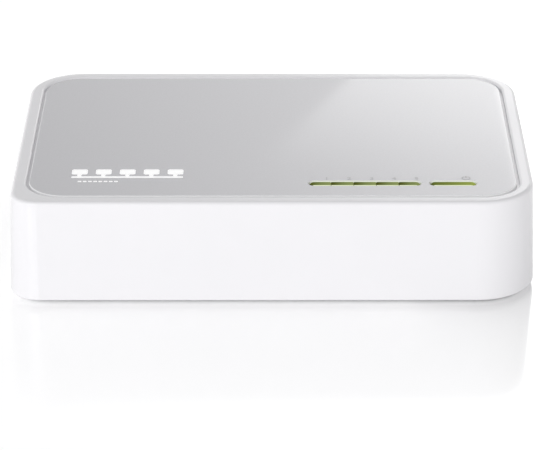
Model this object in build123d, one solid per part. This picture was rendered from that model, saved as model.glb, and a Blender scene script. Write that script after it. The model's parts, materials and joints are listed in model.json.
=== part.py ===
from build123d import *
import os
from math import atan2, cos, degrees, radians, sin

# A five-port desktop network switch. +Z is up, the indicator side faces -Y, the sockets face +Y.
# The origin is at the middle of the footprint, on the surface that the feet stand on.
# All sizes are in millimetres.

# ---- driving dimensions: case ------------------------------------------------------------
WIDTH, DEPTH, HEIGHT = 103.5, 70.0, 22.0
FOOT_PROUD = 1.2                 # gap between the case and the surface
DRAFT = 0.7                      # each side leans in by this much from bottom to top
CORNER_R = 11.7                  # plan radius of the case at the bottom edge
FRONT_LEFT_R = 6.0               # the front left corner is tighter than the other three
WALL = 2.0
ROOF_UNDER = 19.4                # underside of the cover's roof
TOP_EDGE_R, BOTTOM_EDGE_R = 0.8, 0.5
FIT = 0.1                        # general clearance between separate mouldings

BODY_LOW = FOOT_PROUD
BODY_TALL = HEIGHT - BODY_LOW
LEAN = DRAFT / BODY_TALL         # inward lean per millimetre of height
LEAN_DEG = degrees(atan2(DRAFT, BODY_TALL))

# ---- top panel and indicator slots -------------------------------------------------------
RIM_WIDE = 2.65
POCKET_DEEP = 0.8
POCKET_R = 7.75
GROOVE = 0.55                    # gap between the rim and the panel
PANEL_LOW = 0.05                 # the panel's surface lies this far below the rim
PANEL_BEVEL = 0.15
RIM_EASE = 0.45                  # radius of the rim's inner edge
SLOT_Y, SLOT_WIDE = -25.0, 2.5
PORT_SLOT_X = (6.9, 29.1)
POWER_SLOT_X = (30.6, 40.0)
HEAD_TOP = 21.9                  # the lens heads end just below the panel's surface
HEAD_EDGE = 0.44                 # bevel along a lens head's top edges
DIVIDER = (0.2, 0.12)            # width and depth of the grooves between the port segments
WINDOW_FIT = 0.07

# ---- base, board and fixings -------------------------------------------------------------
FLOOR_TOP = 2.8
BOARD_LOW, BOARD_THICK = 5.0, 1.2
BOARD_TOP = BOARD_LOW + BOARD_THICK
BOARD_HALF_X, BOARD_FRONT, BOARD_REAR = 46.5, -28.5, 31.5
BOARD_R = 8.0
CORNER_NOTCH = (39.2, -16.4)     # the board stops short here, around the case screw bosses
FOOT_AT = (43.5, 21.0)
FOOT_R, FOOT_THICK = 4.0, 1.6
BOARD_SCREW_AT = (42.3, 1.5)
LOCATING_PINS = ((-32.0, -23.5), (-2.0, -24.0))

# ---- sockets -----------------------------------------------------------------------------
PORTS = 5
PORT_PITCH, PORT_DEEP, PORT_TALL = 14.0, 17.0, 11.7
PORT_1_X = -34.2
FACE_Y = 34.2                    # rear face of every socket
PORT_X = [PORT_1_X + PORT_PITCH * n for n in range(PORTS)]
PORT_BACK_Y = FACE_Y - PORT_DEEP
PLUG_WIDE, PLUG_LOW, PLUG_HIGH = 11.9, 9.4, 16.1
LATCH_WIDE, LATCH_TIP_WIDE, LATCH_LOW, LATCH_STEP = 6.4, 3.3, 7.0, 8.0
LIP_DEEP = 1.2
WIRES, WIRE_PITCH, WIRE_SIZE = 8, 1.02, 0.35
BEND_Y, BEND_Z, BEND_R = 32.3, 16.1, 0.62
WIRE_SLOPE = 18.0                # degrees below level, at rest
WIRE_FREE = 9.6
TAIL_LOW = 3.9

JACK_X, JACK_WIDE, JACK_DEEP, JACK_TALL = 36.3, 9.0, 14.2, 11.0
JACK_Z, BARREL_R, BARREL_DEEP = 12.7, 3.2, 9.5
PIN_R, PIN_STEM_R, PIN_END_Y = 1.05, 0.6, 33.2
PIN_SHOULDER_Y, PIN_REAR_Y = 24.9, 21.3
LEAF_WIDE, LEAF_THICK = 2.8, 0.3
LEAF_Y, LEAF_Z, LEAF_R = 32.5, 8.05, 0.55
LEAF_RISE = 21.0                 # degrees above level, at rest
LEAF_ARM = (4.8, 1.9)            # lengths of the rising arm and of its turned-down end

OPENING_TOP = 18.15
SOCKET_GAP = 0.25                # gap between the cover and the sockets that show through it
PORTS_OPENING_X = (PORT_X[0] - PORT_PITCH / 2 - SOCKET_GAP, PORT_X[-1] + PORT_PITCH / 2 + SOCKET_GAP)
JACK_OPENING_X = (JACK_X - JACK_WIDE / 2 - SOCKET_GAP, JACK_X + JACK_WIDE / 2 + SOCKET_GAP)
LIP_TOP = 5.9                    # top of the base's rear lip


# ---- small helpers -----------------------------------------------------------------------
def box(x, y, z):
    """A box from its three (low, high) pairs."""
    (x0, x1), (y0, y1), (z0, z1) = x, y, z
    return Pos((x0 + x1) / 2, (y0 + y1) / 2, (z0 + z1) / 2) * Box(x1 - x0, y1 - y0, z1 - z0)


def rod(x, y, z, radius):
    """A vertical cylinder between two heights."""
    z0, z1 = z
    return Pos(x, y, (z0 + z1) / 2) * Cylinder(radius, z1 - z0)


def skin(inset, z0, z1):
    """The case's leaning outer shape, moved inwards by inset, between two heights."""
    lean = LEAN * (z0 - BODY_LOW) + inset
    outline = Rectangle(WIDTH - 2 * lean, DEPTH - 2 * lean)
    front_left = [v for v in outline.vertices() if v.X < 0 and v.Y < 0]
    outline = fillet(front_left, FRONT_LEFT_R - lean)
    others = [v for v in outline.vertices() if v.X > 0 or v.Y > DEPTH / 4]
    outline = fillet(others, CORNER_R - lean)
    return Pos(0, 0, z0) * extrude(outline, amount=z1 - z0, taper=LEAN_DEG)


def rounded_plate(x, y, z, radius):
    """A flat plate with rounded plan corners."""
    (x0, x1), (y0, y1), (z0, z1) = x, y, z
    outline = RectangleRounded(x1 - x0, y1 - y0, radius)
    return Pos((x0 + x1) / 2, (y0 + y1) / 2, z0) * extrude(outline, amount=z1 - z0)


def bent_strip(line, wide, thick):
    """A strip of rectangular section that follows a line in the YZ plane, centred on x = 0."""
    section = Plane(origin=line @ 0, x_dir=(1, 0, 0), z_dir=line % 0) * Rectangle(wide, thick)
    return sweep(section, path=line)


def yz_arc(y, z, radius, start, end):
    """An arc about (y, z) in the YZ plane. Angles are in degrees from +Y towards +Z."""
    at = [(0, y + radius * cos(radians(a)), z + radius * sin(radians(a)))
          for a in (start, (start + end) / 2, end)]
    return ThreePointArc(*at)


def joined(*shapes):
    """Fuses shapes that touch into one solid."""
    first, *rest = shapes
    for shape in rest:
        first = first + shape
    return first


def group(solids):
    """Separate solids that share one node."""
    return Compound(children=[s for shape in solids for s in shape.solids()])


def mirrored(x, y):
    """The same place on the left and on the right."""
    return ((-x, y), (x, y))


# ---- case --------------------------------------------------------------------------------
def top_outline(inset, radius):
    """The case's outline at its top edge, moved inwards."""
    shrink = 2 * (DRAFT + inset)
    return RectangleRounded(WIDTH - shrink, DEPTH - shrink, radius)


def segment_middles():
    """The x of each indicator: the five port segments, then the power bar."""
    pitch = (PORT_SLOT_X[1] - PORT_SLOT_X[0]) / PORTS
    return [PORT_SLOT_X[0] + pitch * (n + 0.5) for n in range(PORTS)] + [sum(POWER_SLOT_X) / 2]


def slot_shape(x, z, inset):
    """A round-ended bar as long and wide as an indicator slot, less the inset all round."""
    wide = SLOT_WIDE - 2 * inset
    outline = SlotOverall(x[1] - x[0] - 2 * inset, wide)
    return Pos((x[0] + x[1]) / 2, SLOT_Y, z[0]) * extrude(outline, amount=z[1] - z[0])


LAMP_TOP = BOARD_TOP + 1.2
STAKES = ((11.35, -21.9), (24.7, -21.9), (35.3, -21.9))
STAKE_R = 0.9
FLANGE_Y, FLANGE_Z = (-27.4, -20.2), (17.9, 19.3)
PORT_FLANGE_X, POWER_FLANGE_X = (5.6, 29.9), (30.2, 40.4)
LEG_HALF, LAMP_GAP = (1.2, 0.9), 0.5
VENT_WIDE, VENT_Z, VENT_PITCH, VENT_COUNT, VENT_MID_Y = 1.4, (8.0, 16.0), 3.2, 9, -4.0
HOOK_Y = (17.0, 23.0)
LEDGE_Z, LEDGE_DEEP = (6.0, 7.2), 0.85
BOSS_R, BOSS_BORE_R, BOSS_Z = 3.0, 1.25, (5.3, 15.5)
STAKE_LOW, STAKE_HEAD_R = 17.4, 1.5
OPENING_R = 0.6                  # upper corners of the rear openings
REAR_CUT_Y = (DEPTH / 2 - WALL - 2, DEPTH / 2 + 1)


def top_cover():
    shell = skin(0, BODY_LOW, HEIGHT)
    shell = fillet(shell.edges().group_by(Axis.Z)[-1], TOP_EDGE_R)
    shell = fillet(shell.edges().group_by(Axis.Z)[0], BOTTOM_EDGE_R)
    shell -= skin(WALL, BODY_LOW - 1, ROOF_UNDER)
    pocket = extrude(top_outline(RIM_WIDE, POCKET_R), amount=POCKET_DEEP + 1)
    shell -= Pos(0, 0, HEIGHT - POCKET_DEEP) * pocket
    # the rim's inner edge is eased all round
    half_wide = WIDTH / 2 - DRAFT - RIM_WIDE + 0.05
    half_deep = DEPTH / 2 - DRAFT - RIM_WIDE + 0.05
    inner_rim = [e for e in shell.edges().group_by(Axis.Z)[-1]
                 if e.bounding_box().max.X < half_wide
                 and e.bounding_box().min.X > -half_wide
                 and abs(e.center().Y) < half_deep]
    shell = fillet(inner_rim, RIM_EASE)

    # bosses for the case screws, blind from below
    for x, y in mirrored(FOOT_AT[0], -FOOT_AT[1]):
        shell += rod(x, y, (BOSS_Z[0], ROOF_UNDER + 0.5), BOSS_R)
        shell -= rod(x, y, (BOSS_Z[0] - 0.3, BOSS_Z[1]), BOSS_BORE_R)
    # heat-formed stakes that hold the light guides
    for x, y in STAKES:
        shell += rod(x, y, (STAKE_LOW, ROOF_UNDER + 0.5), STAKE_R)
        shell += rod(x, y, (STAKE_LOW - 0.1, FLANGE_Z[0] - 0.05), STAKE_HEAD_R)
    # ledges on the side walls, caught by the base's hooks
    for side in (-1, 1):
        x_wall = WIDTH / 2 - WALL - LEAN * (LEDGE_Z[0] - BODY_LOW)
        ledge = box((x_wall - LEDGE_DEEP, x_wall + 0.5), HOOK_Y, LEDGE_Z)
        shell += ledge if side > 0 else mirror(ledge, about=Plane.YZ)

    # windows for the lens heads
    for slot_x in (PORT_SLOT_X, POWER_SLOT_X):
        shell -= slot_shape(slot_x, (ROOF_UNDER - 1, HEIGHT), 0)
    # rear openings: one for the row of ports, one for the power jack, and the base lip's gap below
    for x0, x1 in (PORTS_OPENING_X, JACK_OPENING_X):
        opening = box((x0, x1), REAR_CUT_Y, (LIP_TOP, OPENING_TOP))
        upper_corners = opening.edges().filter_by(Axis.Y).group_by(Axis.Z)[-1]
        shell -= fillet(upper_corners, OPENING_R)
    shell -= box((PORTS_OPENING_X[0], JACK_OPENING_X[1]), REAR_CUT_Y, (BODY_LOW - 1, LIP_TOP + FIT))
    # cooling slots in both side walls
    slot = Rot(0, 90, 0) * extrude(SlotOverall(VENT_Z[1] - VENT_Z[0], VENT_WIDE), amount=WALL + 4)
    for n in range(VENT_COUNT):
        y = VENT_MID_Y + VENT_PITCH * (n - (VENT_COUNT - 1) / 2)
        for x in (WIDTH / 2 - WALL - 3, -WIDTH / 2 - 3):
            shell -= Pos(x, y, sum(VENT_Z) / 2) * slot
    return shell


def top_panel():
    plate = extrude(top_outline(RIM_WIDE + GROOVE, POCKET_R - GROOVE), amount=POCKET_DEEP - PANEL_LOW)
    plate = Pos(0, 0, HEIGHT - POCKET_DEEP) * plate
    plate = chamfer(plate.edges().group_by(Axis.Z)[-1], PANEL_BEVEL)
    for slot_x in (PORT_SLOT_X, POWER_SLOT_X):
        plate -= slot_shape(slot_x, (HEIGHT - 2, HEIGHT + 1), 0)
    return plate


def light_guide(slot_x, middles, flange_x, stakes):
    """A lens head on a flange, with one leg per indicator that reaches down to its lamp."""
    head = slot_shape(slot_x, (FLANGE_Z[1] - 0.5, HEAD_TOP), WINDOW_FIT)
    guide = chamfer(head.edges().group_by(Axis.Z)[-1], HEAD_EDGE)
    guide += box(flange_x, FLANGE_Y, FLANGE_Z)
    leg_y = (SLOT_Y - LEG_HALF[1], SLOT_Y + LEG_HALF[1])
    for x in middles:
        guide += box((x - LEG_HALF[0], x + LEG_HALF[0]), leg_y, (LAMP_TOP + LAMP_GAP, FLANGE_Z[0] + 0.5))
    # a groove divides each port segment from the next
    for left, right in zip(middles, middles[1:]):
        x = (left + right) / 2
        guide -= box((x - DIVIDER[0] / 2, x + DIVIDER[0] / 2), (SLOT_Y - 2, SLOT_Y + 2),
                     (HEAD_TOP - DIVIDER[1], HEAD_TOP + 1))
    for x, y in stakes:
        guide -= rod(x, y, (FLANGE_Z[0] - 1, FLANGE_Z[1] + 1), STAKE_R + 0.1)
    return guide


SCREW_WELL_TOP, SCREW_WELL_R = 5.2, 4.2
SCREW_SEAT, SCREW_HEAD_HOLE_R, SCREW_HOLE_R = 3.6, 3.1, 1.6
POST_R, POST_BORE_R = 3.0, 1.1
PIN_POST_R, LOCATING_PIN_R = 2.3, 1.2
KERB_TOP, KERB_WIDE = 4.6, 1.2
LIP_ROOT = 0.4                   # the lip reaches this far inside the wall
RAIL_X, RAIL_HALF, RAIL_Y = (-30.0, 0.0, 22.0), 6.0, (29.0, 30.2)
HOOK_TOP, HOOK_STEM_X, HOOK_BARB_X = 8.6, (47.2, 48.4), (48.3, 49.1)
FLOOR_VENT, FLOOR_VENT_X, FLOOR_VENT_Y = (22.0, 1.6), (27.5, 31.0, 34.5, 38.0), -2.0
LABEL_HALF = (22.0, 12.5)
LABEL_MID_Y = 1.0
LABEL_THICK = 0.15


def base_tray():
    tray = skin(WALL + 0.15, BODY_LOW, FLOOR_TOP)
    kerb = skin(WALL + 0.15, FLOOR_TOP - 0.1, KERB_TOP)
    tray += kerb - skin(WALL + 0.15 + KERB_WIDE, FLOOR_TOP - 0.2, KERB_TOP + 0.1)
    # the rear lip closes the case below the sockets, flush with the cover
    lip_x = (PORTS_OPENING_X[0] + FIT, JACK_OPENING_X[1] - FIT)
    lip_y = (DEPTH / 2 - WALL - LIP_ROOT, DEPTH / 2 + 1)
    tray += skin(0, BODY_LOW, LIP_TOP) & box(lip_x, lip_y, (0, LIP_TOP))
    for x, y in mirrored(FOOT_AT[0], -FOOT_AT[1]):
        tray += rod(x, y, (FLOOR_TOP - 0.1, SCREW_WELL_TOP), SCREW_WELL_R)
    for x, y in mirrored(*BOARD_SCREW_AT):
        tray += rod(x, y, (FLOOR_TOP - 0.1, BOARD_LOW), POST_R)
        tray -= rod(x, y, (BODY_LOW + 0.9, BOARD_LOW + 1), POST_BORE_R)
    for x, y in LOCATING_PINS:
        tray += rod(x, y, (FLOOR_TOP - 0.1, BOARD_LOW), PIN_POST_R)
        tray += rod(x, y, (BOARD_LOW - 0.1, BOARD_TOP + 0.9), LOCATING_PIN_R)
    # support rails under the sockets
    for x in RAIL_X:
        tray += box((x - RAIL_HALF, x + RAIL_HALF), RAIL_Y, (FLOOR_TOP - 0.1, BOARD_LOW))
    # snap hooks near the rear, one on each side
    stem = box(HOOK_STEM_X, HOOK_Y, (FLOOR_TOP - 0.1, HOOK_TOP))
    barb = box(HOOK_BARB_X, HOOK_Y, (LEDGE_Z[1] + FIT, HOOK_TOP))
    upper_outer_edge = barb.edges().filter_by(Axis.Y).sort_by(Axis.X)[-2:].sort_by(Axis.Z)[-1]
    hook = stem + chamfer(upper_outer_edge, 0.7)
    tray += hook
    tray += mirror(hook, about=Plane.YZ)
    # seats for the feet, and wells for the case screws above the front pair
    for y in (-FOOT_AT[1], FOOT_AT[1]):
        for x, y_foot in mirrored(FOOT_AT[0], y):
            tray -= rod(x, y_foot, (0, BODY_LOW + FOOT_THICK - FOOT_PROUD), FOOT_R + FIT)
    for x, y in mirrored(FOOT_AT[0], -FOOT_AT[1]):
        tray -= rod(x, y, (0, SCREW_SEAT), SCREW_HEAD_HOLE_R)
        tray -= rod(x, y, (0, SCREW_WELL_TOP + 1), SCREW_HOLE_R)
    # cooling slots and the label's shallow seat
    vent = extrude(SlotOverall(*FLOOR_VENT, rotation=90), amount=FLOOR_TOP + 1)
    for x in FLOOR_VENT_X:
        for side in (-1, 1):
            tray -= Pos(side * x, FLOOR_VENT_Y, -0.2) * vent
    seat = rounded_plate((-LABEL_HALF[0] - 0.3, LABEL_HALF[0] + 0.3),
                         (LABEL_MID_Y - LABEL_HALF[1] - 0.3, LABEL_MID_Y + LABEL_HALF[1] + 0.3),
                         (0, BODY_LOW + LABEL_THICK + 0.05), 1.3)
    return tray - seat


def rating_label():
    return rounded_plate((-LABEL_HALF[0], LABEL_HALF[0]),
                         (LABEL_MID_Y - LABEL_HALF[1], LABEL_MID_Y + LABEL_HALF[1]),
                         (BODY_LOW + 0.05, BODY_LOW + 0.05 + LABEL_THICK), 1.0)


def foot(x, y):
    pad = rod(x, y, (0, FOOT_THICK), FOOT_R)
    return chamfer(pad.edges().group_by(Axis.Z)[0], 0.4)


def pan_screw(x, y, seat_z, up, head_r, head_tall, shank_r, shank_long):
    """A cross-recessed pan-head screw, with its head's underside at seat_z. up is +1 for a head above it."""
    head = fillet(Cylinder(head_r, head_tall).edges().group_by(Axis.Z)[-1], head_tall * 0.55)
    head = Pos(0, 0, head_tall / 2) * head
    for turn in (0, 90):
        head -= Pos(0, 0, head_tall - 0.35) * Rot(0, 0, turn) * Box(head_r * 1.1, 0.7, 1.0)
    shank = Pos(0, 0, -shank_long / 2) * Cylinder(shank_r, shank_long)
    shank = chamfer(shank.edges().group_by(Axis.Z)[0], shank_r * 0.6)
    screw = head + shank
    if up < 0:
        screw = Rot(180, 0, 0) * screw
    return Pos(x, y, seat_z) * screw


# ---- ports -------------------------------------------------------------------------------
PEG_R = 1.55
PEG_X, PEG_Y = 5.0, 25.5
INSERT_BACK_Y, INSERT_FRONT_Y = 17.9, 20.5
INSERT_PLATE_Z = (15.75, 16.45)
INSERT_HALF = PLUG_WIDE / 2 - 0.08
COMB_Y, COMB_LOW, TOOTH_WIDE = 23.9, 11.9, 0.44
WIRE_Z = BEND_Z + BEND_R          # height of the wires' level run
WIRE_BACK_Y = 17.55
SECOND_ROW_Y = 20.1
WIRE_XS = [WIRE_PITCH * (n - (WIRES - 1) / 2) for n in range(WIRES)]


def port_cavity():
    """The space inside one port: the plug's way in, the room for the insert, and the latch's channel."""
    plug = PLUG_WIDE / 2
    way_in = box((-plug, plug), (PORT_BACK_Y - 1, FACE_Y + 1), (PLUG_LOW, PLUG_HIGH))
    above = box((-plug, plug), (PORT_BACK_Y - 1, FACE_Y - 0.9), (PLUG_LOW, 17.0))
    behind = box((-plug, plug), (PORT_BACK_Y - 1, INSERT_FRONT_Y + 0.1), (BOARD_TOP - 1, PLUG_LOW + 1))
    channel = box((-LATCH_WIDE / 2, LATCH_WIDE / 2), (22.5, FACE_Y - LIP_DEEP), (LATCH_LOW, PLUG_LOW + 1))
    # the notch at the mouth is stepped, so that the latch catches behind it
    notch = box((-LATCH_WIDE / 2, LATCH_WIDE / 2), (30, FACE_Y + 1), (LATCH_STEP, PLUG_LOW + 1))
    notch_tip = box((-LATCH_TIP_WIDE / 2, LATCH_TIP_WIDE / 2), (30, FACE_Y + 1), (LATCH_LOW, PLUG_LOW + 1))
    return joined(way_in, above, behind, channel, notch, notch_tip)


def port_block():
    """One moulding that holds all the ports side by side."""
    half = PORT_PITCH / 2
    block_x = (PORT_X[0] - half, PORT_X[-1] + half)
    block = box(block_x, (PORT_BACK_Y, FACE_Y), (BOARD_TOP, BOARD_TOP + PORT_TALL))
    cavity = port_cavity()
    for x in PORT_X:
        block -= Pos(x, 0, 0) * cavity
        for dx in (-PEG_X, PEG_X):
            block += rod(x + dx, PEG_Y, (3.4, BOARD_TOP + 0.2), PEG_R)
    return block


def port_rear_block():
    """The upright moulding behind the cavity. Its comb keeps the free ends of the wires apart."""
    block = box((-INSERT_HALF, INSERT_HALF), (INSERT_BACK_Y, INSERT_FRONT_Y), (7.0, INSERT_PLATE_Z[0]))
    for n in range(WIRES + 1):
        x = WIRE_PITCH * (n - WIRES / 2)
        block += box((x - TOOTH_WIDE / 2, x + TOOTH_WIDE / 2), (INSERT_FRONT_Y - 0.1, COMB_Y),
                     (COMB_LOW, INSERT_PLATE_Z[0]))
    return block


def port_contact_plate():
    """The level moulding under the ceiling. The wires run along its top and bend round its front."""
    return box((-INSERT_HALF, INSERT_HALF), (INSERT_BACK_Y, BEND_Y - 0.15), INSERT_PLATE_Z)


def port_wire(second_row):
    """The fixed part of one contact: solder tail, riser, level run, and the start of the bend."""
    # the run lies just above the insert's plate
    if second_row:
        corners = [(0, SECOND_ROW_Y, TAIL_LOW), (0, SECOND_ROW_Y, 6.6), (0, WIRE_BACK_Y, 6.6),
                   (0, WIRE_BACK_Y, WIRE_Z), (0, BEND_Y, WIRE_Z)]
    else:
        corners = [(0, WIRE_BACK_Y, TAIL_LOW), (0, WIRE_BACK_Y, WIRE_Z), (0, BEND_Y, WIRE_Z)]
    run = FilletPolyline(*corners, radius=0.35)
    line = Wire(run.edges() + yz_arc(BEND_Y, BEND_Z, BEND_R, 90, -8).edges())
    return bent_strip(line, WIRE_SIZE, WIRE_SIZE)


def port_spring():
    """The free part of one contact: the rest of the bend and the sloping arm."""
    end = -90 - WIRE_SLOPE
    arc = yz_arc(BEND_Y, BEND_Z, BEND_R, -11, end)
    start = (0, BEND_Y + BEND_R * cos(radians(end)), BEND_Z + BEND_R * sin(radians(end)))
    slope = radians(WIRE_SLOPE)
    tip = (0, start[1] - WIRE_FREE * cos(slope), start[2] - WIRE_FREE * sin(slope))
    return bent_strip(Wire(arc.edges() + Line(start, tip).edges()), WIRE_SIZE, WIRE_SIZE)


# ---- power jack --------------------------------------------------------------------------
def power_jack_body():
    x0, x1 = JACK_X - JACK_WIDE / 2, JACK_X + JACK_WIDE / 2
    body = box((x0, x1), (FACE_Y - JACK_DEEP, FACE_Y), (BOARD_TOP, BOARD_TOP + JACK_TALL))
    body = chamfer(body.edges().filter_by(Axis.Y).group_by(Axis.Z)[-1], 1.2)
    bore_at = Pos(JACK_X, FACE_Y - BARREL_DEEP / 2 + 0.5, JACK_Z) * Rot(90, 0, 0)
    bore = bore_at * Cylinder(BARREL_R, BARREL_DEEP + 1)
    mouth = Pos(JACK_X, FACE_Y - 0.25, JACK_Z) * Rot(90, 0, 0) * Cone(BARREL_R, BARREL_R + 0.5, 0.5)
    body = body - bore - mouth
    # channel for the leaf, open to the barrel and closed at the face
    body -= box((JACK_X - 1.6, JACK_X + 1.6), (24.4, FACE_Y - 0.8), (7.1, JACK_Z - 2))
    # pocket for the centre pin's rear terminal
    body -= box((JACK_X - 1.6, JACK_X + 1.6), (FACE_Y - JACK_DEEP - 1, 22.4), (BOARD_TOP - 1, 14.4))
    body -= Pos(JACK_X, 23.5, JACK_Z) * Rot(90, 0, 0) * Cylinder(PIN_STEM_R + 0.02, 4)
    # slot through the floor for the leaf's terminal
    body -= box((JACK_X - 0.8, JACK_X + 0.8), (24.4, 25.6), (BOARD_TOP - 1, 8))
    return body


def power_jack_pin():
    """The centre pin, with a thinner stem through the body, and its terminal and solder tail behind."""
    pin = Pos(JACK_X, (PIN_END_Y + PIN_SHOULDER_Y) / 2, JACK_Z) * Rot(90, 0, 0) * Cylinder(
        PIN_R, PIN_END_Y - PIN_SHOULDER_Y)
    pin = fillet(pin.edges().sort_by(Axis.Y)[-1], 0.5)
    stem = Pos(JACK_X, (PIN_REAR_Y + PIN_SHOULDER_Y) / 2, JACK_Z) * Rot(90, 0, 0) * Cylinder(
        PIN_STEM_R, PIN_SHOULDER_Y - PIN_REAR_Y)
    terminal_y = (PIN_REAR_Y, PIN_REAR_Y + 0.5)
    plate = box((JACK_X - 1.4, JACK_X + 1.4), terminal_y, (BOARD_TOP + 0.1, 14.1))
    tail = box((JACK_X - 0.6, JACK_X + 0.6), terminal_y, (TAIL_LOW, BOARD_TOP + 0.2))
    return joined(pin, stem, plate, tail)


def power_jack_terminal():
    """The fixed half of the sleeve contact: solder tail, level run and half of the front bend."""
    level = LEAF_Z - LEAF_R
    run = FilletPolyline((0, 25.0, TAIL_LOW), (0, 25.0, level), (0, LEAF_Y, level), radius=0.4)
    line = Wire(run.edges() + yz_arc(LEAF_Y, LEAF_Z, LEAF_R, -90, 5).edges())
    return Pos(JACK_X, 0, 0) * bent_strip(line, 1.4, LEAF_THICK)


def power_jack_leaf():
    """The moving half: it rises into the barrel, and a plug presses it down."""
    top = 90 - LEAF_RISE
    bend = yz_arc(LEAF_Y, LEAF_Z, LEAF_R, 9, top)
    start = (0, LEAF_Y + LEAF_R * cos(radians(top)), LEAF_Z + LEAF_R * sin(radians(top)))
    rise, fall = LEAF_ARM
    crest = (0, start[1] - rise * cos(radians(LEAF_RISE)), start[2] + rise * sin(radians(LEAF_RISE)))
    tip = (0, crest[1] - fall * cos(radians(LEAF_RISE)), crest[2] - fall * sin(radians(LEAF_RISE)))
    arm = FilletPolyline(start, crest, tip, radius=1.2)
    return Pos(JACK_X, 0, 0) * bent_strip(Wire(bend.edges() + arm.edges()), LEAF_WIDE, LEAF_THICK)


# ---- circuit board -----------------------------------------------------------------------
TRANSFORMER = (12.4, 7.0, 5.4)
TRANSFORMER_Y = 8.6
CHIP_AT, CHIP_SIZE, CHIP_TALL = (-7.0, -9.0), 14.0, 1.4
LEAD_PITCH, LEADS_A_SIDE = 0.8, 16
CANS_AT, CAN_R, CAN_TALL = ((32.6, 11.0), (40.4, 11.6)), 3.15, 7.6
LAMP_XS = segment_middles()


def circuit_board():
    half = BOARD_HALF_X
    board = rounded_plate((-half, half), (BOARD_FRONT, BOARD_REAR), (BOARD_LOW, BOARD_TOP), BOARD_R)
    high = (BOARD_LOW - 1, BOARD_TOP + 1)
    for side in (-1, 1):
        notch = rounded_plate((CORNER_NOTCH[0], 60), (-50, CORNER_NOTCH[1]), high, 1.5)
        board -= notch if side > 0 else mirror(notch, about=Plane.YZ)
    for x, y in mirrored(*BOARD_SCREW_AT):
        board -= rod(x, y, high, 1.5)
    for x, y in LOCATING_PINS:
        board -= rod(x, y, high, 1.35)
    holes = []
    for port in PORT_X:
        holes += [rod(port + x, PEG_Y, high, PEG_R + 0.1) for x in (-PEG_X, PEG_X)]
        holes += [rod(port + x, SECOND_ROW_Y if n % 2 else WIRE_BACK_Y, high, 0.4)
                  for n, x in enumerate(WIRE_XS)]
    for y in (21.55, 25.0):
        holes.append(box((JACK_X - 0.9, JACK_X + 0.9), (y - 0.45, y + 0.45), high))
    return board - holes


def gull_leads(half_body, spots, z_mid, foot_out):
    """Gull-wing leads along the +X side of a package, at the given y positions."""
    strip = bent_strip(Wire(FilletPolyline(
        (0, half_body - 0.1, z_mid), (0, half_body + foot_out * 0.4, z_mid),
        (0, half_body + foot_out * 0.55, BOARD_TOP + 0.12), (0, half_body + foot_out, BOARD_TOP + 0.12),
        radius=0.12).edges()), 0.3, 0.16)
    lead = Rot(0, 0, -90) * strip
    return [Pos(0, y, 0) * lead for y in spots]


def switch_chip():
    x, y = CHIP_AT
    body = Pos(x, y, BOARD_TOP + 0.12 + CHIP_TALL / 2) * Box(CHIP_SIZE, CHIP_SIZE, CHIP_TALL)
    body = chamfer(body.edges().filter_by(Axis.Z), 0.5)
    body = chamfer(body.edges().group_by(Axis.Z)[-1], 0.12)
    return body - rod(x - 5.4, y - 5.4, (BOARD_TOP + CHIP_TALL, BOARD_TOP + 3), 0.6)


def switch_chip_leads():
    spots = [LEAD_PITCH * (n - (LEADS_A_SIDE - 1) / 2) for n in range(LEADS_A_SIDE)]
    side = gull_leads(CHIP_SIZE / 2 + 0.1, spots, BOARD_TOP + 0.8, 1.0)
    middle = Pos(CHIP_AT[0], CHIP_AT[1], 0)
    return [middle * Rot(0, 0, turn) * lead for turn in (0, 90, 180, 270) for lead in side]


def transformers():
    wide, deep, tall = TRANSFORMER
    z = BOARD_TOP + 0.3 + tall / 2
    made = []
    for x in PORT_X:
        block = chamfer((Pos(x, TRANSFORMER_Y, z) * Box(wide, deep, tall)).edges().group_by(Axis.Z)[-1], 0.4)
        made.append(block - rod(x - 5.0, TRANSFORMER_Y - 2.3, (BOARD_TOP + tall, BOARD_TOP + tall + 2), 0.5))
    return made


def transformer_leads():
    half_deep = TRANSFORMER[1] / 2
    side = gull_leads(half_deep + 0.1, [1.27 * (n - 3.5) for n in range(8)], BOARD_TOP + 1.5, 1.3)
    return [Pos(x, TRANSFORMER_Y, 0) * Rot(0, 0, turn) * lead
            for x in PORT_X for turn in (90, 270) for lead in side]


def crystal():
    can = rounded_plate((7.0, 18.0), (-9.6, -5.0), (BOARD_TOP, BOARD_TOP + 3.4), 2.2)
    return fillet(can.edges().group_by(Axis.Z)[-1], 0.4)


def electrolytic(x, y, radius, tall):
    """A radial capacitor can with a crimped waist and a shallow top recess."""
    can = fillet(rod(x, y, (BOARD_TOP + 0.3, BOARD_TOP + tall), radius).edges().group_by(Axis.Z)[-1], 0.4)
    can -= Pos(x, y, BOARD_TOP + 1.6) * Torus(radius + 0.25, 0.55)
    return can - rod(x, y, (BOARD_TOP + tall - 0.25, BOARD_TOP + tall + 1), radius * 0.8)


def lamp(x):
    """A surface-mount indicator lamp: a flat base with a raised lens."""
    base = box((x - 1.6, x + 1.6), (SLOT_Y - 0.8, SLOT_Y + 0.8), (BOARD_TOP, BOARD_TOP + 0.6))
    lens = box((x - 1.0, x + 1.0), (SLOT_Y - 0.8, SLOT_Y + 0.8), (BOARD_TOP + 0.5, LAMP_TOP))
    return base + chamfer(lens.edges().group_by(Axis.Z)[-1], 0.2)


def small_chip(x, y, turned):
    """A surface-mount resistor or capacitor."""
    long, wide = (0.8, 1.6) if turned else (1.6, 0.8)
    return box((x - long / 2, x + long / 2), (y - wide / 2, y + wide / 2), (BOARD_TOP, BOARD_TOP + 0.5))


def resistors():
    beside_lamps = [small_chip(x, -21.6, True) for x in LAMP_XS]
    under_ports = [small_chip(x + dx, 2.2, True) for x in PORT_X[:-1] for dx in (-4.5, -1.5, 1.5, 4.5)]
    return beside_lamps + under_ports


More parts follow.
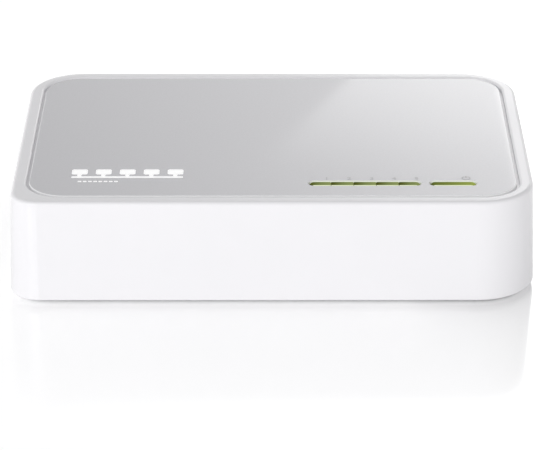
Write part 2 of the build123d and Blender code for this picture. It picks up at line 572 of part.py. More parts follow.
def capacitors():
    round_chip = [small_chip(CHIP_AT[0] + dx, -19.5, True) for dx in (-6, -3, 0, 3, 6)]
    beside_chip = [small_chip(-20.0, -15.0 + dy, False) for dy in (0, 3, 6, 9, 12)]
    return round_chip + beside_chip + [small_chip(21.0, -9.0, True), small_chip(21.0, -5.5, True)]


def regulator():
    body = box((36.6, 41.4), (-8.0, -4.0), (BOARD_TOP + 0.15, BOARD_TOP + 1.6))
    return chamfer(body.edges().group_by(Axis.Z)[-1], 0.15)


def regulator_leads():
    side = gull_leads(2.1, [1.27 * (n - 1.5) for n in range(4)], BOARD_TOP + 0.8, 0.9)
    return [Pos(39.0, -6.0, 0) * Rot(0, 0, turn) * lead for turn in (90, 270) for lead in side]


def power_inductor():
    core = rounded_plate((29.5, 35.9), (-9.2, -2.8), (BOARD_TOP, BOARD_TOP + 3.2), 1.2)
    core = chamfer(core.edges().group_by(Axis.Z)[-1], 0.3)
    return core - rod(32.7, -6.0, (BOARD_TOP + 2.9, BOARD_TOP + 4), 2.2)


# ---- writing the parts -------------------------------------------------------------------
def all_parts():
    middles = segment_middles()
    made = {
        "top_cover": top_cover(),
        "top_panel": top_panel(),
        "port_light_guide": light_guide(PORT_SLOT_X, middles[:PORTS], PORT_FLANGE_X, STAKES[:2]),
        "power_light_guide": light_guide(POWER_SLOT_X, middles[PORTS:], POWER_FLANGE_X, STAKES[2:]),
        "base_tray": base_tray(),
        "rating_label": rating_label(),
        "circuit_board": circuit_board(),
        "port_block": port_block(),
        "power_jack_body": power_jack_body(),
        "power_jack_pin": power_jack_pin(),
        "power_jack_terminal": power_jack_terminal(),
        "power_jack_leaf": power_jack_leaf(),
        "switch_chip": switch_chip(),
        "switch_chip_leads": group(switch_chip_leads()),
        "port_transformers": group(transformers()),
        "port_transformer_leads": group(transformer_leads()),
        "clock_crystal": crystal(),
        "filter_capacitors": group([electrolytic(x, y, CAN_R, CAN_TALL) for x, y in CANS_AT]),
        "regulator_chip": regulator(),
        "regulator_chip_leads": group(regulator_leads()),
        "power_inductor": power_inductor(),
        "indicator_lamps": group([lamp(x) for x in LAMP_XS]),
        "chip_resistors": group(resistors()),
        "chip_capacitors": group(capacitors()),
        "case_screws": group([pan_screw(x, y, SCREW_SEAT, -1, 2.7, 1.8, 1.2, 10.0)
                              for x, y in mirrored(FOOT_AT[0], -FOOT_AT[1])]),
        "board_screws": group([pan_screw(x, y, BOARD_TOP, 1, 2.5, 1.6, 1.05, 4.0)
                               for x, y in mirrored(*BOARD_SCREW_AT)]),
    }
    for name, x, y in (("foot_front_left", -1, -1), ("foot_front_right", 1, -1),
                       ("foot_rear_left", -1, 1), ("foot_rear_right", 1, 1)):
        made[name] = foot(x * FOOT_AT[0], y * FOOT_AT[1])

    plate, block, spring = port_contact_plate(), port_rear_block(), port_spring()
    wires = [port_wire(second_row=bool(n % 2)) for n in range(2)]
    for n, x in enumerate(PORT_X):
        at = Pos(x, 0, 0)
        made[f"port_{n + 1}_contact_plate"] = at * plate
        made[f"port_{n + 1}_rear_block"] = at * block
        fixed = [Pos(x + dx, 0, 0) * wires[k % 2] for k, dx in enumerate(WIRE_XS)]
        made[f"port_{n + 1}_wires"] = group(fixed)
        made[f"port_{n + 1}_springs"] = group([Pos(x + dx, 0, 0) * spring for dx in WIRE_XS])
    return made


os.makedirs("parts", exist_ok=True)
for name, shape in all_parts().items():
    export_step(shape, f"parts/{name}.step")
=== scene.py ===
import json
from math import cos, pi, radians, sin

import bmesh
import bpy
from mathutils import Matrix, Vector


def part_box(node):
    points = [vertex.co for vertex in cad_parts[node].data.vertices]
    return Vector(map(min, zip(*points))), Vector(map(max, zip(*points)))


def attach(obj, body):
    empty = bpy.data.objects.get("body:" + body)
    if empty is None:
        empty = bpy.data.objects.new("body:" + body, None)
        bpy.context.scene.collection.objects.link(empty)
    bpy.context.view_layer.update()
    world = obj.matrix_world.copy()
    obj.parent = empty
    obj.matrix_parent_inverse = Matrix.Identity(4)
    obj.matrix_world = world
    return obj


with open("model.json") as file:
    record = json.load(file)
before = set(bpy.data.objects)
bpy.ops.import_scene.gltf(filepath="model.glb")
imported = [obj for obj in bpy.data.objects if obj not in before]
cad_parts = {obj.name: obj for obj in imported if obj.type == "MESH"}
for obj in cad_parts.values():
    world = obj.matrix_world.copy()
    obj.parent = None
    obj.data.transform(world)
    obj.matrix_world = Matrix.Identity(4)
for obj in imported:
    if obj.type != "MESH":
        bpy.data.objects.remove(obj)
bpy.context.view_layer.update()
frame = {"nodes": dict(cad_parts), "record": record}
scene = bpy.context.scene
scene.view_settings.view_transform = "Standard"
MM = 0.001
CASE = "switch_case"

# ---- places, from the frame --------------------------------------------------------------
PANEL_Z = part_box("top_panel")[1].z
PORTS = 5
LENS_HEAD_TALL = 0.6 * MM


def lens_head(node):
    """(start, length, middle y) of a lens head, which is the top of its light guide."""
    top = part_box(node)[1].z
    head = [v.co for v in frame["nodes"][node].data.vertices if v.co.z > top - LENS_HEAD_TALL]
    xs, ys = [p.x for p in head], [p.y for p in head]
    return min(xs), max(xs) - min(xs), (min(ys) + max(ys)) / 2


PORT_BAR = lens_head("port_light_guide")
POWER_BAR = lens_head("power_light_guide")


# ---- camera ------------------------------------------------------------------------------
TARGET_Z = 0.011
CAMERA_AWAY = 0.59285
CAMERA_ELEVATION = radians(23.50)
AIM_BELOW, AIM_RIGHT = radians(0.8196), radians(0.043)
LENS_MM, SENSOR_MM = 189.06, 36.0


def make_camera():
    data = bpy.data.cameras.new("camera")
    data.lens, data.sensor_width = LENS_MM, SENSOR_MM
    data.clip_start, data.clip_end = 0.01, 20
    camera = bpy.data.objects.new("camera", data)
    scene.collection.objects.link(camera)
    back = Vector((0, -cos(CAMERA_ELEVATION), sin(CAMERA_ELEVATION)))
    camera.location = Vector((0, 0, TARGET_Z)) + CAMERA_AWAY * back
    camera.rotation_euler = (pi / 2 - CAMERA_ELEVATION - AIM_BELOW, 0, -AIM_RIGHT)
    scene.camera = camera


# ---- node helpers ------------------------------------------------------------------------
class Nodes:
    """A node tree and the few moves that this script makes in it."""

    def __init__(self, tree):
        self.tree = tree

    def node(self, kind, **settings):
        made = self.tree.nodes.new(kind)
        for key, value in settings.items():
            setattr(made, key, value)
        return made

    def link(self, a, b):
        self.tree.links.new(a, b)

    def place(self, kind="Object"):
        """Coordinates of that kind. The object's own are in metres."""
        return self.node("ShaderNodeTexCoord").outputs[kind]

    def noise(self, scale, detail=3.0, stretch=None):
        source = self.place()
        if stretch:
            mapping = self.node("ShaderNodeMapping")
            mapping.inputs["Scale"].default_value = stretch
            self.link(source, mapping.inputs["Vector"])
            source = mapping.outputs["Vector"]
        tex = self.node("ShaderNodeTexNoise")
        tex.inputs["Scale"].default_value = scale
        tex.inputs["Detail"].default_value = detail
        self.link(source, tex.inputs["Vector"])
        return tex.outputs["Fac"]

    def ramp(self, fac, stops):
        ramp = self.node("ShaderNodeValToRGB")
        band = ramp.color_ramp.elements
        while len(band) < len(stops):
            band.new(0.5)
        for element, (at, color) in zip(band, stops):
            element.position = at
            element.color = (*color, 1)
        self.link(fac, ramp.inputs["Fac"])
        return ramp.outputs["Color"]

    def remap(self, value, low, high, to_low=0.0, to_high=1.0, kind="LINEAR"):
        node = self.node("ShaderNodeMapRange", interpolation_type=kind)
        for key, number in (("From Min", low), ("From Max", high), ("To Min", to_low), ("To Max", to_high)):
            node.inputs[key].default_value = number
        self.link(value, node.inputs["Value"])
        return node.outputs["Result"]

    def math(self, operation, a, b=None):
        node = self.node("ShaderNodeMath", operation=operation)
        for socket, value in zip(node.inputs, (a, b)):
            if value is None:
                continue
            if isinstance(value, (int, float)):
                socket.default_value = value
            else:
                self.link(value, socket)
        return node.outputs["Value"]

    def axis(self, name, source=None):
        """One coordinate of the source, or of the object coordinates."""
        split = self.node("ShaderNodeSeparateXYZ")
        self.link(source or self.place(), split.inputs["Vector"])
        return split.outputs[name]


class Look(Nodes):
    """One material. The inputs are sockets of its shader, with _ for each space in their names."""

    def __init__(self, name, color, roughness, **inputs):
        self.mat = bpy.data.materials.new(name)
        self.mat.use_nodes = True
        super().__init__(self.mat.node_tree)
        self.bsdf = self.tree.nodes["Principled BSDF"]
        self.bsdf.inputs["Base Color"].default_value = (*color, 1)
        self.bsdf.inputs["Roughness"].default_value = roughness
        for key, value in inputs.items():
            self.bsdf.inputs[key.replace("_", " ")].default_value = value
        self.color = color

    def blend(self, factor, body, edge_color):
        """Base colour that goes from the body's colour to the edge's. Returns it."""
        mix = self.node("ShaderNodeMix", data_type="RGBA")
        factor_in, first, second, mixed = mix.inputs[0], mix.inputs[6], mix.inputs[7], mix.outputs[2]
        self.link(factor, factor_in)
        self.link(body, first)
        second.default_value = (*edge_color, 1)
        self.link(mixed, self.bsdf.inputs["Base Color"])
        return mixed

    def mottle(self, scale, amount, detail=3.0, stretch=None):
        """Varies the base colour a little, lighter and darker than its own value."""
        dark = [c * (1 - amount) for c in self.color]
        light = [min(1.0, c * (1 + amount)) for c in self.color]
        color = self.ramp(self.noise(scale, detail, stretch), ((0.3, dark), (0.7, light)))
        self.link(color, self.bsdf.inputs["Base Color"])
        return self

    def worn(self, scale, low, high, stretch=None):
        """Varies the roughness between two values."""
        self.link(self.remap(self.noise(scale, 4.0, stretch), 0.3, 0.7, low, high),
                  self.bsdf.inputs["Roughness"])
        return self

    def bump(self, height, depth, strength):
        node = self.node("ShaderNodeBump")
        node.inputs["Strength"].default_value = strength
        node.inputs["Distance"].default_value = depth
        self.link(height, node.inputs["Height"])
        self.link(node.outputs["Normal"], self.bsdf.inputs["Normal"])
        return self


# ---- stage: floor, world and lights ------------------------------------------------------
WHITE = (1, 1, 1, 1)
FLOOR_HALF = 4.0
FLOOR_GLOW = 0.35
# (openness to the sky within a few millimetres, glow): a painted contact shadow, dark right under the case,
# and painted light that makes it bright just outside it
CONTACT_DISTANCE = 0.006
CONTACT_SHADOW_GLOW = ((0.0, 0.05), (0.05, 0.12), (0.10, 0.45), (0.16, 0.55), (0.30, 0.50), (0.50, 0.45),
                (0.85, FLOOR_GLOW))
# a wide faint painted shade round the object, stronger towards its right end
SHADE_DISTANCE = 0.035
SHADE_X, SHADE_PER_COVER = (0.026, 0.05), (0.18, 0.6)
SHADE_CAP_X, SHADE_CAP = (0.036, 0.05), (0.2, 0.3)
# the sky is bright low down and darker overhead, and a little brighter on the left
SKY_HEIGHT, SKY_LEVEL = (0.25, 0.85), (1.10, 0.34)
SKY_SIDES = (1.06, 0.84)
SKY_SEEN = 1.05                  # what the camera itself sees behind the object
CARD_Y, CARD_HALF_X, CARD_Z = 0.6, 0.5, (0.10, 0.42)
# the card's level rises towards the right, and falls again beyond 0.112 m
CARD_RISE_X, CARD_LEVEL = (-0.10, 0.10), (1.06, 1.76)
CARD_FALL_X, CARD_FALL = (0.112, 0.15), (0.0, 0.66)
# its slanted step: the place in x, the softness and the two parts of the rise, each over a range of height
STEP_Z, STEP_X = (0.2438, 0.2842), (0.0335, -0.0055)
SOFT_Z, STEP_SOFT = (0.235, 0.300), (0.0015, 0.020)
RISE_Z, STEP_RISE = (0.244, 0.288), (0.82, 0.0)
SPREAD_Z, STEP_SPREAD, SPREAD_X_LIMIT = (0.246, 0.266), (0.0, 1.3), 0.1
# a slanted strip beside the step, with a soft start and a soft end, which only the right rim mirrors
STRIP_Z, STRIP_X = (0.2, 0.4), (0.0841, 0.1258)
STRIP_START, STRIP_END, STRIP_LEVEL = (-0.001, 0.003), (0.022, 0.04), (1.3, 0.0)
LIGHT_AT, LIGHT_AIM, LIGHT_SIZE, LIGHT_POWER = (-0.7, -1.42, 0.6), (0, 0, 0.01), (0.9, 0.7), 9.4


def flat_sheet(name, corners):
    mesh = bpy.data.meshes.new(name)
    mesh.from_pydata(corners, [], [(0, 1, 2, 3)])
    made = bpy.data.objects.new(name, mesh)
    scene.collection.objects.link(made)
    return made


def make_floor():
    h = FLOOR_HALF
    floor = flat_sheet("floor", [(-h, -h, 0), (h, -h, 0), (h, h, 0), (-h, h, 0)])
    look = Look("pale_floor", (0.80, 0.80, 0.805), 0.12, IOR=2.4)
    look.bsdf.inputs["Emission Color"].default_value = WHITE
    # the floor's glow carries a painted contact shadow under the case, painted light just outside it and a
    # painted shade round it
    contact = look.node("ShaderNodeAmbientOcclusion", samples=16)
    contact.inputs["Distance"].default_value = CONTACT_DISTANCE
    glow = look.ramp(contact.outputs["AO"], [(at, (level,) * 3) for at, level in CONTACT_SHADOW_GLOW])
    nearby = look.node("ShaderNodeAmbientOcclusion", samples=16)
    nearby.inputs["Distance"].default_value = SHADE_DISTANCE
    covered = look.math("SUBTRACT", 1.0, nearby.outputs["AO"])
    shade = look.math("MULTIPLY", covered, look.remap(look.axis("X"), *SHADE_X, *SHADE_PER_COVER))
    shade = look.math("MINIMUM", shade, look.remap(look.axis("X"), *SHADE_CAP_X, *SHADE_CAP))
    look.link(look.math("SUBTRACT", glow, shade), look.bsdf.inputs["Emission Strength"])
    floor.data.materials.append(look.mat)


def make_world():
    world = bpy.data.worlds.new("studio")
    scene.world = world
    world.use_nodes = True
    sky = Nodes(world.node_tree)
    sky.tree.nodes.clear()
    towards = sky.place("Generated")
    height = sky.remap(sky.axis("Z", towards), *SKY_HEIGHT, *SKY_LEVEL, kind="SMOOTHSTEP")
    side = sky.remap(sky.axis("X", towards), -1, 1, *SKY_SIDES)
    light = sky.node("ShaderNodeBackground")
    light.inputs["Color"].default_value = WHITE
    sky.link(sky.math("MULTIPLY", height, side), light.inputs["Strength"])
    seen = sky.node("ShaderNodeBackground")
    seen.inputs["Color"].default_value = WHITE
    seen.inputs["Strength"].default_value = SKY_SEEN
    mix = sky.node("ShaderNodeMixShader")
    sky.link(sky.node("ShaderNodeLightPath").outputs["Is Camera Ray"], mix.inputs["Fac"])
    sky.link(light.outputs["Background"], mix.inputs[1])
    sky.link(seen.outputs["Background"], mix.inputs[2])
    sky.link(mix.outputs["Shader"], sky.node("ShaderNodeOutputWorld").inputs["Surface"])


def make_card():
    """A softbox behind the object. Its slanted step is what the glossy top mirrors."""
    h = CARD_HALF_X
    low, high = CARD_Z
    card = flat_sheet("softbox", [(-h, CARD_Y, low), (h, CARD_Y, low),
                                  (h, CARD_Y, high), (-h, CARD_Y, high)])
    card.visible_camera = False
    mat = bpy.data.materials.new("softbox")
    mat.use_nodes = True
    nodes = Nodes(mat.node_tree)
    nodes.tree.nodes.clear()
    x, z = nodes.axis("X"), nodes.axis("Z")
    base = nodes.remap(x, *CARD_RISE_X, *CARD_LEVEL)
    base = nodes.math("SUBTRACT", base, nodes.remap(x, *CARD_FALL_X, *CARD_FALL))
    edge = nodes.math("SUBTRACT", x, nodes.remap(z, *STEP_Z, *STEP_X))
    step = nodes.math("ADD", nodes.math("DIVIDE", edge, nodes.remap(z, *SOFT_Z, *STEP_SOFT)), 0.5)
    step = nodes.math("MINIMUM", nodes.math("MAXIMUM", step, 0.0), 1.0)
    rise = nodes.remap(z, *RISE_Z, *STEP_RISE)
    reach = nodes.math("MINIMUM", x, SPREAD_X_LIMIT)
    spread = nodes.math("MULTIPLY", nodes.remap(z, *SPREAD_Z, *STEP_SPREAD), reach)
    step = nodes.math("MULTIPLY", step, nodes.math("ADD", rise, spread))
    beside = nodes.math("SUBTRACT", x, nodes.remap(z, *STRIP_Z, *STRIP_X))
    fade = nodes.remap(beside, *STRIP_END, *STRIP_LEVEL)
    strip = nodes.math("MULTIPLY", nodes.remap(beside, *STRIP_START), fade)
    glow = nodes.node("ShaderNodeEmission")
    total = nodes.math("ADD", nodes.math("ADD", base, step), strip)
    nodes.link(total, glow.inputs["Strength"])
    nodes.link(glow.outputs["Emission"], nodes.node("ShaderNodeOutputMaterial").inputs["Surface"])
    card.data.materials.append(mat)


def area_light(name, at, aim, size, power):
    data = bpy.data.lights.new(name, "AREA")
    data.shape, data.size, data.size_y, data.energy = "RECTANGLE", size[0], size[1], power
    light = bpy.data.objects.new(name, data)
    light.location = at
    light.rotation_euler = (Vector(aim) - Vector(at)).to_track_quat("-Z", "Y").to_euler()
    scene.collection.objects.link(light)


# ---- materials ---------------------------------------------------------------------------
PIN_PITCH = 1.27 * MM
# the panel edge's glow is a painted highlight
PANEL_EDGE_HIGHLIGHT_GLOW, LENS_GLOW = 0.12, 0.3
LENS_EDGE = (0.72 * MM, 0.78 * MM)   # how far from the lens's middle line its bevel, with the painted highlight on it, begins
# each segment's colour from its left end to its right; the dark left end is painted shade
PORT_LENS_STOPS = ((0.0, (0.055, 0.066, 0.010)), (0.14, (0.09, 0.108, 0.022)),
                   (0.5, (0.18, 0.225, 0.075)), (1.0, (0.27, 0.315, 0.115)))
POWER_LENS_STOPS = ((0.0, (0.06, 0.07, 0.02)), (0.12, (0.125, 0.155, 0.03)),
                    (0.45, (0.19, 0.235, 0.05)), (1.0, (0.32, 0.38, 0.085)))


def case_white():
    look = Look("case_white", (0.835, 0.828, 0.85), 0.2)
    look.mottle(60, 0.006).worn(45, 0.17, 0.25)
    return look.bump(look.noise(900, 2), 0.000004, 0.35)


def panel_silver():
    look = Look("panel_silver", (0.487, 0.482, 0.510), 0.3, Specular_IOR_Level=0.25,
                Coat_Weight=1.0, Coat_Roughness=0.04)
    flakes = look.ramp(look.noise(2600, 1), ((0.3, [c * 0.978 for c in look.color]),
                                             (0.7, [c * 1.022 for c in look.color])))
    # the panel's bevelled edge, found by its slope, carries a painted highlight: it is lighter than its
    # flat top and glows faintly
    slope = look.axis("Z", look.node("ShaderNodeNewGeometry").outputs["True Normal"])
    bevel = look.remap(slope, 0.85, 0.95, 1.0, 0.0)
    look.bsdf.inputs["Emission Color"].default_value = WHITE
    look.link(look.math("MULTIPLY", bevel, PANEL_EDGE_HIGHLIGHT_GLOW), look.bsdf.inputs["Emission Strength"])
    look.blend(bevel, flakes, (0.72, 0.72, 0.73))
    return look


def lens(name, start, length, slot_y, segments, stops):
    """Lit green lens. Each segment has painted shade at its left end, and a painted highlight makes its
    bevelled edges lighter.
    """
    look = Look(name, (0.2, 0.25, 0.06), 0.5, Specular_IOR_Level=0.0)
    along = look.math("DIVIDE", look.math("SUBTRACT", look.axis("X"), start), length / segments)
    if segments > 1:
        along = look.math("FRACT", along)
    body = look.ramp(along, stops)
    off_centre = look.math("ABSOLUTE", look.math("SUBTRACT", look.axis("Y"), slot_y))
    tint = look.blend(look.remap(off_centre, *LENS_EDGE), body, (0.72, 0.78, 0.54))
    look.link(tint, look.bsdf.inputs["Emission Color"])
    look.bsdf.inputs["Emission Strength"].default_value = LENS_GLOW
    return look


def ink(name, color, glow=0.0):
    look = Look(name, color, 0.45)
    look.bsdf.inputs["Emission Color"].default_value = WHITE
    look.bsdf.inputs["Emission Strength"].default_value = glow
    return look.worn(800, 0.38, 0.52)


def moulded(name, color, roughness=0.42):
    look = Look(name, color, roughness)
    look.mottle(80, 0.04).worn(120, roughness - 0.06, roughness + 0.08)
    return look.bump(look.noise(2500, 2), 0.000006, 0.5)


def base_white():
    look = Look("base_white", (0.82, 0.815, 0.83), 0.4)
    look.mottle(50, 0.008).worn(70, 0.34, 0.45)
    return look.bump(look.noise(3200, 2), 0.00001, 0.6)


def label_film():
    look = Look("label_film", (0.62, 0.62, 0.63), 0.33, Specular_IOR_Level=0.6)
    look.mottle(1500, 0.015, 1, (1, 14, 1))
    return look.worn(300, 0.28, 0.4)


def foot_rubber():
    look = Look("foot_rubber", (0.11, 0.11, 0.115), 0.75, Specular_IOR_Level=0.3)
    look.mottle(400, 0.08).worn(500, 0.68, 0.85)
    return look.bump(look.noise(1800, 3), 0.00003, 0.7)


def metal(name, color, roughness, grain=(1, 1, 1)):
    look = Look(name, color, roughness, Metallic=1.0)
    look.mottle(300, 0.03).worn(700, roughness - 0.05, roughness + 0.1, stretch=grain)
    return look.bump(look.noise(2600, 2, grain), 0.000003, 0.4)


def board_green():
    """Solder mask with copper traces that show as a lighter, raised pattern."""
    look = Look("board_green", (0.012, 0.10, 0.045), 0.28)
    x = look.math("FRACT", look.math("MULTIPLY", look.axis("X"), 1 / PIN_PITCH))
    trace = look.math("GREATER_THAN", x, 0.62)
    patch = look.math("GREATER_THAN", look.noise(70, 0), 0.5)
    copper = look.math("MULTIPLY", trace, patch)
    color = look.ramp(copper, ((0.0, (0.010, 0.085, 0.038)), (1.0, (0.020, 0.17, 0.075))))
    look.link(color, look.bsdf.inputs["Base Color"])
    return look.bump(copper, 0.00003, 0.6)


def can_sleeve():
    look = Look("can_sleeve", (0.02, 0.022, 0.05), 0.25)
    look.mottle(60, 0.1)
    return look.worn(200, 0.2, 0.35)


def ceramic(name, color, roughness=0.4):
    look = Look(name, color, roughness)
    look.mottle(2000, 0.12)
    return look.worn(900, roughness - 0.08, roughness + 0.12)


looks = {
    "case_white": case_white(),
    "panel_silver": panel_silver(),
    "port_lens": lens("port_lens", *PORT_BAR, PORTS, PORT_LENS_STOPS),
    "power_lens": lens("power_lens", *POWER_BAR, 1, POWER_LENS_STOPS),
    "base_white": base_white(),
    "label_film": label_film(),
    "foot_rubber": foot_rubber(),
    "screw_steel": metal("screw_steel", (0.55, 0.55, 0.57), 0.28),
    "board_green": board_green(),
    "port_black": moulded("port_black", (0.018, 0.018, 0.02)),
    "insert_black": moulded("insert_black", (0.028, 0.028, 0.032), 0.5),
    "contact_gold": metal("contact_gold", (0.86, 0.60, 0.22), 0.18),
    "contact_tin": metal("contact_tin", (0.72, 0.71, 0.69), 0.24),
    "chip_black": moulded("chip_black", (0.022, 0.022, 0.024), 0.55),
    "ferrite_grey": ceramic("ferrite_grey", (0.06, 0.06, 0.065), 0.6),
    "crystal_can": metal("crystal_can", (0.70, 0.70, 0.69), 0.14),
    "can_sleeve": can_sleeve(),
    "lamp_clear": ceramic("lamp_clear", (0.70, 0.76, 0.55), 0.2),
    "resistor_black": ceramic("resistor_black", (0.03, 0.03, 0.033), 0.3),
    "capacitor_tan": ceramic("capacitor_tan", (0.33, 0.22, 0.12), 0.4),
    # the white ink's faint glow is painted light
    "white_ink": ink("white_ink", (0.93, 0.93, 0.93), 0.3),
    "grey_ink": ink("grey_ink", (0.30, 0.30, 0.31)),
}
# the look of a material slot, where the two names differ
slot_looks = {
    "lens_green": "port_lens",
    "label_silver": "label_film",
    "capacitor_sleeve": "can_sleeve",
    "jack_black": "port_black",
}


def finish_cad_nodes():
    """Every CAD node keeps its mesh and takes the look of its material slot."""
    for row in frame["record"]["subparts"]:
        node = frame["nodes"][row["node"]]
        slot = row["material_slot"]
        look = looks[slot_looks.get(slot, slot)]
        if row["node"] == "power_light_guide":
            look = looks["power_lens"]
        node.data.materials.clear()
        node.data.materials.append(look.mat)


# ---- printed marks -----------------------------------------------------------------------
INK_THICK, INK_SUNK = 0.012 * MM, 0.001 * MM
# places and sizes from here on are in millimetres
PORT_NUMBER = (0.81, -22.65, 1.25)   # place along its segment, as a share of it, then y and height
POWER_SIGN_AT = (37.95, -22.5)
PICTOGRAM_AT, RULE_AT = (-39.7, -22.3), (-38.3, -24.35)
RULE_DASHES, DASH_PITCH, DASH_LONG, DASH_TALL = 8, 1.02, 0.72, 0.55
REAR_MARK_Z, REAR_NUMBER_TALL = 19.75, 1.7
LABEL_MARGIN, LABEL_STROKE = 1.4, 0.18
LABEL_LINES, LINE_TALL = (15.0, 12.0, 14.0, 9.0, 13.0), 0.7
LINES_IN, LINES_DOWN, LINE_PITCH = 2, 3.2, 2.6   # from the frame's upper left corner
LABEL_BARS, BARS_IN, BARS_UP = 26, 18.6, (2.2, 7.2)   # from the frame's lower right corner


def add_piece(name, mesh, look):
    made = bpy.data.objects.new(name, mesh)
    scene.collection.objects.link(made)
    mesh.materials.clear()
    mesh.materials.append(looks[look].mat)
    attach(made, CASE)


def prism(bm, outline, thick):
    """A flat plate on z = 0 from its outline, anticlockwise."""
    low = [bm.verts.new((x, y, 0)) for x, y in outline]
    high = [bm.verts.new((x, y, thick)) for x, y in outline]
    bm.faces.new(reversed(low))
    bm.faces.new(high)
    n = len(outline)
    for i in range(n):
        bm.faces.new((low[i], low[(i + 1) % n], high[(i + 1) % n], high[i]))


def rounded(x0, y0, x1, y1, r, steps=5):
    """The outline of a rounded rectangle, anticlockwise."""
    corners = ((x1 - r, y0 + r, -90), (x1 - r, y1 - r, 0), (x0 + r, y1 - r, 90), (x0 + r, y0 + r, 180))
    return [(cx + r * cos(radians(a + 90 * k / steps)), cy + r * sin(radians(a + 90 * k / steps)))
            for cx, cy, a in corners for k in range(steps + 1)]


def ring_arc(bm, cx, cy, radius, wide, start, end, thick, steps=28):
    """A curved stroke of even width."""
    angles = [radians(start + (end - start) * k / steps) for k in range(steps + 1)]
    outer = [(cx + (radius + wide / 2) * cos(a), cy + (radius + wide / 2) * sin(a)) for a in angles]
    inner = [(cx + (radius - wide / 2) * cos(a), cy + (radius - wide / 2) * sin(a)) for a in angles]
    for k in range(steps):
        prism(bm, [outer[k], outer[k + 1], inner[k + 1], inner[k]], thick)


def to_mesh(bm, name, place):
    bmesh.ops.transform(bm, matrix=place, verts=bm.verts)
    mesh = bpy.data.meshes.new(name)
    bm.to_mesh(mesh)
    bm.free()
    return mesh


def digit_mesh(text, tall, place, name):
    """A digit as a thin slab, centred on its place."""
    curve = bpy.data.curves.new(name, "FONT")
    curve.body, curve.size = text, 1.0
    curve.align_x, curve.extrude, curve.resolution_u = "CENTER", 0.5, 6
    text_object = bpy.data.objects.new(name + "_curve", curve)
    scene.collection.objects.link(text_object)
    bpy.context.view_layer.update()
    mesh = bpy.data.meshes.new_from_object(
        text_object.evaluated_get(bpy.context.evaluated_depsgraph_get()))
    mesh.name = name
    xs = [v.co.x for v in mesh.vertices]
    ys = [v.co.y for v in mesh.vertices]
    grow = tall / (max(ys) - min(ys))
    middle = Vector(((max(xs) + min(xs)) / 2, (max(ys) + min(ys)) / 2, -0.5))
    shape = Matrix.Diagonal((grow, grow, INK_THICK, 1)) @ Matrix.Translation(-middle)
    mesh.transform(place @ shape)
    bpy.data.objects.remove(text_object)
    return mesh


def on_panel(x, y):
    return Matrix.Translation((x * MM, y * MM, PANEL_Z - INK_SUNK))


def print_panel():
    pitch = PORT_BAR[1] / PORTS / MM
    along, y, tall = PORT_NUMBER
    first = PORT_BAR[0] / MM + pitch * along
    for n in range(PORTS):
        name = f"port_number_{n + 1}"
        mesh = digit_mesh(str(n + 1), tall * MM, on_panel(first + pitch * n, y), name)
        add_piece(name, mesh, "grey_ink")
    bm = bmesh.new()
    ring_arc(bm, 0, 0, 0.76 * MM, 0.24 * MM, 118, 422, INK_THICK)
    prism(bm, rounded(-0.12 * MM, 0.1 * MM, 0.12 * MM, 1.12 * MM, 0.06 * MM), INK_THICK)
    mesh = to_mesh(bm, "power_sign", on_panel(*POWER_SIGN_AT))
    add_piece("power_sign", mesh, "grey_ink")
    # a plain pictogram of five stations on one line, over a dashed rule
    bm = bmesh.new()
    length, bar, stem, stem_top, block, corner = 22.0, 0.75, 0.8, 1.7, (3.1, 2.5), 0.45
    prism(bm, rounded(0, 0, length * MM, bar * MM, 0.3 * MM), INK_THICK)
    for n in range(PORTS):
        x = (length - block[0]) * n / (PORTS - 1)
        middle = x + block[0] / 2
        upright = ((middle - stem / 2) * MM, bar * MM, (middle + stem / 2) * MM, stem_top * MM)
        prism(bm, rounded(*upright, 0.05 * MM), INK_THICK)
        station = (x * MM, stem_top * MM, (x + block[0]) * MM, (stem_top + block[1]) * MM)
        prism(bm, rounded(*station, corner * MM), INK_THICK)
    mesh = to_mesh(bm, "line_pictogram", on_panel(*PICTOGRAM_AT))
    add_piece("line_pictogram", mesh, "white_ink")
    bm = bmesh.new()
    for n in range(RULE_DASHES):
        dash = (n * DASH_PITCH * MM, 0, (n * DASH_PITCH + DASH_LONG) * MM, DASH_TALL * MM)
        prism(bm, rounded(*dash, 0.12 * MM), INK_THICK)
    mesh = to_mesh(bm, "dashed_rule", on_panel(*RULE_AT))
    add_piece("dashed_rule", mesh, "white_ink")


def on_rear_wall(x, z):
    """A place on the cover's rear wall, found on the mesh. Marks there read from behind."""
    cover = frame["nodes"]["top_cover"]
    found, spot, normal, _ = cover.ray_cast(Vector((x * MM, 0.1, z * MM)), Vector((0, -1, 0)))
    if not found:
        raise ValueError("no rear wall there")
    across = Vector((-1, 0, 0))
    up = normal.cross(across)
    turn = Matrix((across, up, normal)).transposed().to_4x4()
    return Matrix.Translation(spot) @ turn


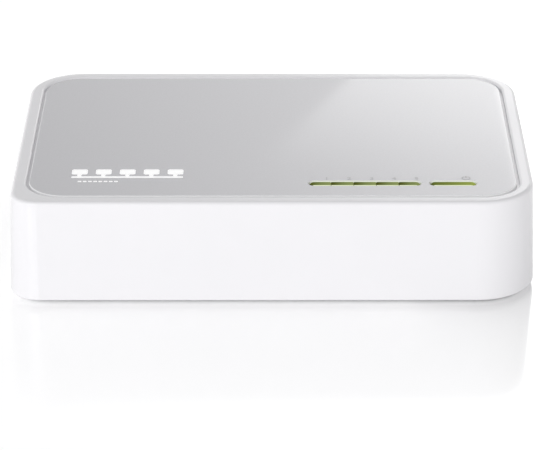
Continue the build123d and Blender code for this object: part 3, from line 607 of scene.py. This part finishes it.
def print_rear():
    for n in range(PORTS):
        low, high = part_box(f"port_{n + 1}_contact_plate")
        name = f"rear_number_{n + 1}"
        place = on_rear_wall((low.x + high.x) / 2 / MM, REAR_MARK_Z)
        mesh = digit_mesh(str(n + 1), REAR_NUMBER_TALL * MM, place, name)
        add_piece(name, mesh, "grey_ink")
    # the usual sign for a plug with its positive pole in the middle
    low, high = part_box("power_jack_body")
    bm = bmesh.new()
    ring_arc(bm, 0, 0, 0.62 * MM, 0.2 * MM, 45, 315, INK_THICK)
    ring_arc(bm, 0, 0, 0.13 * MM, 0.26 * MM, 0, 360, INK_THICK, 20)
    for x0, x1 in ((-2.0, -0.62), (0.1, 2.0)):
        prism(bm, rounded(x0 * MM, -0.09 * MM, x1 * MM, 0.09 * MM, 0.04 * MM), INK_THICK)
    for x in (-2.6, 2.6):
        prism(bm, rounded((x - 0.36) * MM, -0.08 * MM, (x + 0.36) * MM, 0.08 * MM, 0.03 * MM), INK_THICK)
    prism(bm, rounded(2.52 * MM, -0.36 * MM, 2.68 * MM, 0.36 * MM, 0.03 * MM), INK_THICK)
    place = on_rear_wall((low.x + high.x) / 2 / MM, REAR_MARK_Z)
    add_piece("polarity_sign", to_mesh(bm, "polarity_sign", place), "grey_ink")


def print_label():
    """A frame, rules and a row of bars on the underside's label, which carries no wording."""
    label_low, label_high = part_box("rating_label")
    middle = (label_low + label_high) / 2
    flip = Matrix.Rotation(pi, 4, "X")
    place = Matrix.Translation((middle.x, middle.y, label_low.z + INK_SUNK)) @ flip
    half_x = (label_high.x - label_low.x) / 2 / MM - LABEL_MARGIN
    half_y = (label_high.y - label_low.y) / 2 / MM - LABEL_MARGIN
    line = LABEL_STROKE
    bm = bmesh.new()
    for x0, y0, x1, y1 in ((-half_x, half_y - line, half_x, half_y),
                           (-half_x, -half_y, half_x, -half_y + line),
                           (-half_x, -half_y + line, -half_x + line, half_y - line),
                           (half_x - line, -half_y + line, half_x, half_y - line)):
        prism(bm, rounded(x0 * MM, y0 * MM, x1 * MM, y1 * MM, 0.04 * MM), INK_THICK)
    for n, length in enumerate(LABEL_LINES):
        x, y = -half_x + LINES_IN, half_y - LINES_DOWN - LINE_PITCH * n
        prism(bm, rounded(x * MM, y * MM, (x + length) * MM, (y + LINE_TALL) * MM, 0.2 * MM), INK_THICK)
    x = half_x - BARS_IN
    low, high = (-half_y + up for up in BARS_UP)
    for n in range(LABEL_BARS):
        wide = 0.22 + 0.2 * ((n * 7) % 3)
        prism(bm, rounded(x * MM, low * MM, (x + wide) * MM, high * MM, 0.02 * MM), INK_THICK)
        x += wide + 0.15 + 0.09 * ((n * 5) % 3)
    add_piece("label_print", to_mesh(bm, "label_print", place), "grey_ink")


make_camera()
make_floor()
make_world()
make_card()
area_light("front_left_softbox", LIGHT_AT, LIGHT_AIM, LIGHT_SIZE, LIGHT_POWER)
finish_cad_nodes()
print_panel()
print_rear()
print_label()
